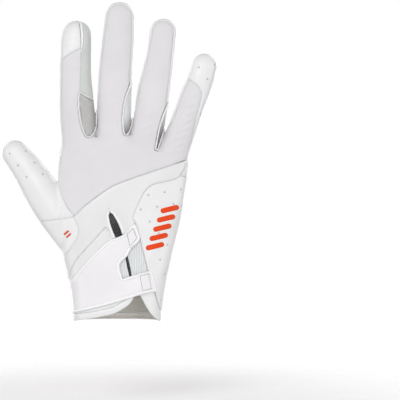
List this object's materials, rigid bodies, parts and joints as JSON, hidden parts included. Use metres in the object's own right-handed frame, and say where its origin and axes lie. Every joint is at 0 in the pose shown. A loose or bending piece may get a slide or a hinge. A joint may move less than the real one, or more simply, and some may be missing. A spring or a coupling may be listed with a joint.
{
  "type": "football receiver glove",
  "caption": "Right-hand receiver glove with a glossy spotted grip palm, stretch back, side strips, raised wrist panels and a forked closure strap.",
  "frame": {"origin": "centre of the wrist opening, where the hand goes in", "axes": "+Z from the wrist to the fingertips, -Y out of the back of the hand, +Y out of the palm, -X to the thumb side"},
  "size_m": [0.155, 0.0446, 0.2288],
  "materials": {
    "back_cloth": "smooth stretch cloth, matte",
    "white_leather": "perforated grip skin, soft gloss",
    "orange_grip": "glossy tacky skin with darker spots and a black edge",
    "smooth_overlay": "smooth laminated cloth",
    "strap_skin": "soft moulded skin with rounded edges",
    "side_cloth": "fine stretch cloth",
    "side_mesh": "open mesh",
    "ribbed_knit": "vertical ribs",
    "dark_mesh": "black mesh",
    "orange_print": "soft raised print"
  },
  "bodies": {
    "root": {"back_panel": "back_cloth", "index_tip_cap": "white_leather", "index_side_strip": "side_cloth", "index_gusset": "side_mesh", "middle_gusset": "side_cloth", "ring_gusset": "side_cloth", "little_finger_wrap": "white_leather", "thumb_shell": "white_leather", "thumb_seam_insert": "white_leather", "thumb_side_panel": "white_leather", "side_panel": "white_leather", "palm_grip": "orange_grip", "palm_white": "white_leather", "knuckle_overlay": "smooth_overlay", "wrist_panel": "smooth_overlay", "slit_flap": "smooth_overlay", "knit_insert": "ribbed_knit", "back_hem": "smooth_overlay", "palm_hem": "white_leather", "closure_strap": "strap_skin", "upper_vent_rim": "strap_skin", "upper_vent_mesh": "dark_mesh", "lower_vent_mesh": "dark_mesh", "side_bar_1": "orange_print", "side_bar_2": "orange_print", "side_bar_3": "orange_print", "side_bar_4": "orange_print", "side_bar_5": "orange_print", "bar_tack_1": "orange_print", "bar_tack_2": "orange_print"}
  },
  "joints": []
}
